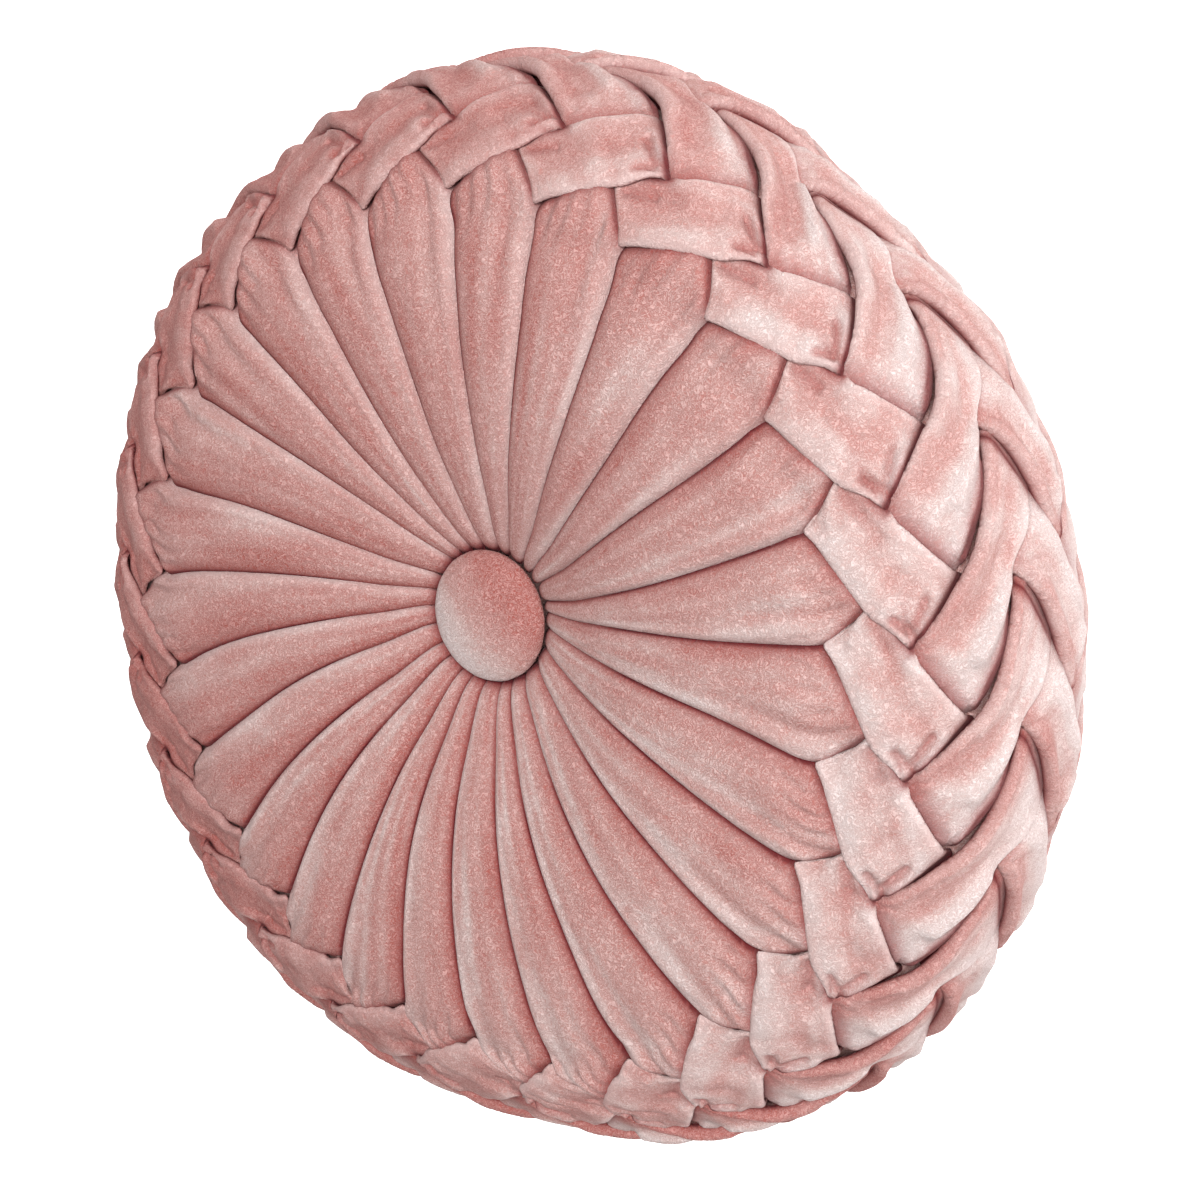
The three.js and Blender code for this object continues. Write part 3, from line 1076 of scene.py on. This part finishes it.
class VelvetLook(bpy.types.PropertyGroup):
    """Colours of the velvet."""

    # Deep, pale, light and frost are the pile's own tones and also painted shade and painted light.
    deep: colour("Deep", "The pile brushed away from the light", (0.43, 0.120, 0.098))
    pale: colour("Pale", "The pile brushed towards the light", (0.64, 0.465, 0.438))
    shadow: colour("Shadow", "Beside a fold", (0.27, 0.045, 0.040))
    between: colour("Between", "Tint between the tufts", (0.66, 0.50, 0.47))
    light: colour("Light", "The pile brushed right into the light", (0.67, 0.61, 0.60))
    # Tips holds both the pile's own tips and the painted highlight on rolled edges.
    tips_and_edge_highlight: colour("Tips", "Tips of the pile and rolled edges", (0.73, 0.575, 0.555))
    frost_and_highlight: colour("Frost", "Pile that leans fully into the light", (0.775, 0.76, 0.76))
    # Painted shade where folds press together.
    crevice_shade: colour("Crevice", "Where folds press together", (0.090, 0.010, 0.014))
    sheen: number("Sheen", "Strength of the soft shine at grazing angles", 0.06, min=0.0, max=1.0)
    sheen_colour: colour("Sheen colour", "Colour of the soft shine", (1.0, 0.80, 0.76))


class StudioLook(bpy.types.PropertyGroup):
    """The camera and the light."""

    turn: number("Turn", "Camera's turn round the cushion's upright", math.radians(-34.2), subtype="ANGLE")
    tilt: number("Tilt", "Camera's tilt", math.radians(14.4), subtype="ANGLE")
    distance: number("Distance", "From the camera to the cushion's middle", 0.700, unit="LENGTH")
    shift_right: number(
        "Right", "Cushion's middle from the picture's, to the right", -0.01617, unit="LENGTH"
    )
    shift_up: number("Up", "Cushion's middle from the picture's, upward", -0.0061, unit="LENGTH")
    lens: number("Lens", "Focal length in millimetres on a 36 mm sensor", 60.36)
    key: number("Main light", "Power of the main light in watts", 29.0)
    side: number("Side light", "Power of the light from the right in watts", 16.0)


class CUSHION_OT_filling(bpy.types.Operator):
    """Makes the inner bag of filling, that shows only as depth between the folds"""

    bl_idname = "cushion.filling"
    bl_label = "Filling"

    def execute(self, context):
        bm = bmesh.new()
        outs = np.linspace(ARC[0], ARC[-1], FILLING_STEPS)
        points = place(np.ones(FILLING_STEPS), outs, np.full(FILLING_STEPS, -FILLING_DEEP))
        radii = np.hypot(points[:, 0], points[:, 1])
        verts = [bm.verts.new((radius, 0.0, z)) for radius, z in zip(radii, points[:, 2])]
        edges = [bm.edges.new(pair) for pair in zip(verts, verts[1:])]
        bmesh.ops.spin(
            bm, geom=verts + edges, axis=(0, 0, 1), cent=(0, 0, 0), angle=TURN,
            steps=FILLING_AROUND, use_merge=True,
        )
        bmesh.ops.remove_doubles(bm, verts=bm.verts, dist=0.05 * MM)
        bmesh.ops.recalc_face_normals(bm, faces=bm.faces)
        piece = close_up("filling_bag", bm)
        dress(piece, cloth("cover_velvet"))
        return {"FINISHED"}


class CUSHION_OT_front_pleats(bpy.types.Operator):
    """Makes the pleats of the front face"""

    bl_idname = "cushion.front_pleats"
    bl_label = "Front pleats"

    def execute(self, context):
        rings = context.scene.cushion_sizes.pleat_rings
        layers = [pleat_points(pleat, rings, FRONT, pleat * 5.3) for pleat in range(1, PLEATS + 1)]
        piece = lay_tubes("front_pleats", rings, PLEAT_AROUND, layers)
        dress(piece, cloth("cover_velvet"), ["cushion_cover"])
        return {"FINISHED"}


class CUSHION_OT_back_pleats(bpy.types.Operator):
    """Makes the pleats of the back face, that the cushion lies on"""

    bl_idname = "cushion.back_pleats"
    bl_label = "Back pleats"

    def execute(self, context):
        layers = [
            pleat_points(pleat, BACK_RINGS, BACK, pleat * 3.9 + 200) for pleat in range(1, PLEATS + 1)
        ]
        piece = lay_tubes("back_pleats", BACK_RINGS, PLEAT_AROUND, layers)
        dress(piece, cloth("cover_velvet"))
        return {"FINISHED"}


class CUSHION_OT_braid(bpy.types.Operator):
    """Makes the five rows of smocked folds round the side"""

    bl_idname = "cushion.braid"
    bl_label = "Braid of folds"

    def execute(self, context):
        for number, (name, row) in enumerate(ROWS.items()):
            layers = [
                fold_points(row, pleat, pleat * 4.7 + 31 * number) for pleat in range(1, PLEATS + 1)
            ]
            piece = lay_tubes(name + "_row_of_folds", row.rings, FOLD_AROUND, layers)
            dress(piece, cloth("fold_velvet"))
        return {"FINISHED"}


def button_point(spot, way, sizes):
    """A point of a unit sphere, laid on a covered button that faces up or down."""
    turn = math.atan2(spot.y, spot.x)
    flat = math.hypot(spot.x, spot.y)
    if spot.z >= 0:
        radius = flat
        height = BUTTON_EDGE + (1.0 - BUTTON_EDGE) * math.sqrt(max(0.0, 1 - flat**BUTTON_ROUND))
    else:
        radius = flat * (1.0 - BUTTON_TUCK * (1 - flat))
        height = BUTTON_EDGE * (1.0 + spot.z)
    pucker = BUTTON_PUCKER * math.sin(turn * BUTTON_PUCKERS + 1.0) * max(0.0, flat - 0.8)
    radius *= (1.0 + pucker) * sizes.button_width / 2
    pulled = max(way, 0) * MM
    return (
        radius * math.cos(turn) + pulled * PULL_RIGHT,
        radius * math.sin(turn) + pulled * PULL_UP,
        MID_HEIGHT * MM + way * (BUTTON_BASE * MM + height * sizes.button_rise),
    )


class CUSHION_OT_buttons(bpy.types.Operator):
    """Makes the two covered buttons"""

    bl_idname = "cushion.buttons"
    bl_label = "Covered buttons"

    def execute(self, context):
        sizes = context.scene.cushion_sizes
        for button in BUTTONS:
            bm = bmesh.new()
            bmesh.ops.create_uvsphere(
                bm, u_segments=BUTTON_SPOKES, v_segments=BUTTON_RINGS, radius=1.0
            )
            for v in bm.verts:
                v.co = button_point(v.co.copy(), button.way, sizes)
            # Painted sheen: the button's velvet is paler towards its lower left and darker towards its
            # upper right.
            sheen_side = [(v.co.x + v.co.y - PULL_UP * MM) / sizes.button_width for v in bm.verts]
            piece = close_up(button.piece, bm)
            layer = piece.data.attributes.new("nap", "FLOAT", "POINT")
            layer.data.foreach_set("value", [BUTTON_PAINTED_SHEEN - BUTTON_SHEEN_SLOPE * part for part in sheen_side])
            dress(piece, cloth("cover_velvet"), [button.node])
        return {"FINISHED"}


class CUSHION_OT_studio(bpy.types.Operator):
    """Makes the floor, the soft light and the camera"""

    bl_idname = "cushion.studio"
    bl_label = "Studio"

    def execute(self, context):
        look = context.scene.cushion_studio
        bm = bmesh.new()
        bmesh.ops.create_grid(bm, x_segments=4, y_segments=4, size=FLOOR_HALF)
        floor = close_up("floor", bm)
        floor.data.materials.append(plain("pale_floor", FLOOR_COLOUR, FLOOR_ROUGH, FLOOR_GLOW))
        turn = Matrix.Rotation(look.tilt, 3, "X") @ Matrix.Rotation(look.turn, 3, "Y")
        axes = turn.transposed()
        middle = Vector((0.0, 0.0, MID_HEIGHT * MM))
        eye = middle + axes @ Vector((-look.shift_right, -look.shift_up, look.distance))
        camera = bpy.data.objects.new("camera", bpy.data.cameras.new("camera"))
        camera.data.lens = look.lens
        camera.data.sensor_width = 36.0
        camera.data.clip_start = 0.01
        camera.matrix_world = Matrix.Translation(eye) @ axes.to_4x4()
        context.scene.collection.objects.link(camera)
        context.scene.camera = camera
        for lamp in LAMPS:
            data = bpy.data.lights.new(lamp.name, "AREA")
            data.shape = "DISK"
            data.size = lamp.width
            data.energy = getattr(look, lamp.power)
            light = bpy.data.objects.new(lamp.name, data)
            at = middle + axes @ Vector(lamp.spot)
            light.location = at
            light.rotation_euler = (at - middle).to_track_quat("Z", "Y").to_euler()
            context.scene.collection.objects.link(light)
        world = bpy.data.worlds.new("studio")
        world.use_nodes = True
        back = world.node_tree.nodes["Background"]
        back.inputs["Color"].default_value = (1.0, 1.0, 1.0, 1.0)
        back.inputs["Strength"].default_value = ROOM_LIGHT
        context.scene.world = world
        context.scene.view_settings.view_transform = "Standard"
        return {"FINISHED"}


class CUSHION_PT_panel(bpy.types.Panel):
    """Lists the sizes, the colours and the steps that make the cushion"""

    bl_idname = "CUSHION_PT_panel"
    bl_label = "Round pleated cushion"
    bl_space_type = "VIEW_3D"
    bl_region_type = "UI"
    bl_category = "Cushion"

    def draw(self, context):
        for group in GROUPS:
            settings = getattr(context.scene, group)
            box = self.layout.box()
            for name in settings.__annotations__:
                box.prop(settings, name)
        for step in STEPS:
            self.layout.operator(step.bl_idname)


STEPS = (
    CUSHION_OT_filling,
    CUSHION_OT_front_pleats,
    CUSHION_OT_braid,
    CUSHION_OT_back_pleats,
    CUSHION_OT_buttons,
    CUSHION_OT_studio,
)
GROUPS = {"cushion_sizes": CushionSizes, "cushion_velvet": VelvetLook, "cushion_studio": StudioLook}
CLASSES = (*GROUPS.values(), *STEPS, CUSHION_PT_panel)


def register():
    """Adds the classes and their settings."""
    for made in CLASSES:
        bpy.utils.register_class(made)
    for name, group in GROUPS.items():
        setattr(bpy.types.Scene, name, bpy.props.PointerProperty(type=group))


def unregister():
    """Takes the settings and the classes out again."""
    for name in GROUPS:
        delattr(bpy.types.Scene, name)
    for made in reversed(CLASSES):
        bpy.utils.unregister_class(made)


def main():
    """Makes the whole scene."""
    register()
    bpy.ops.cushion.filling()
    bpy.ops.cushion.front_pleats()
    bpy.ops.cushion.braid()
    bpy.ops.cushion.back_pleats()
    bpy.ops.cushion.buttons()
    bpy.ops.cushion.studio()


if __name__ == "__main__":
    main()
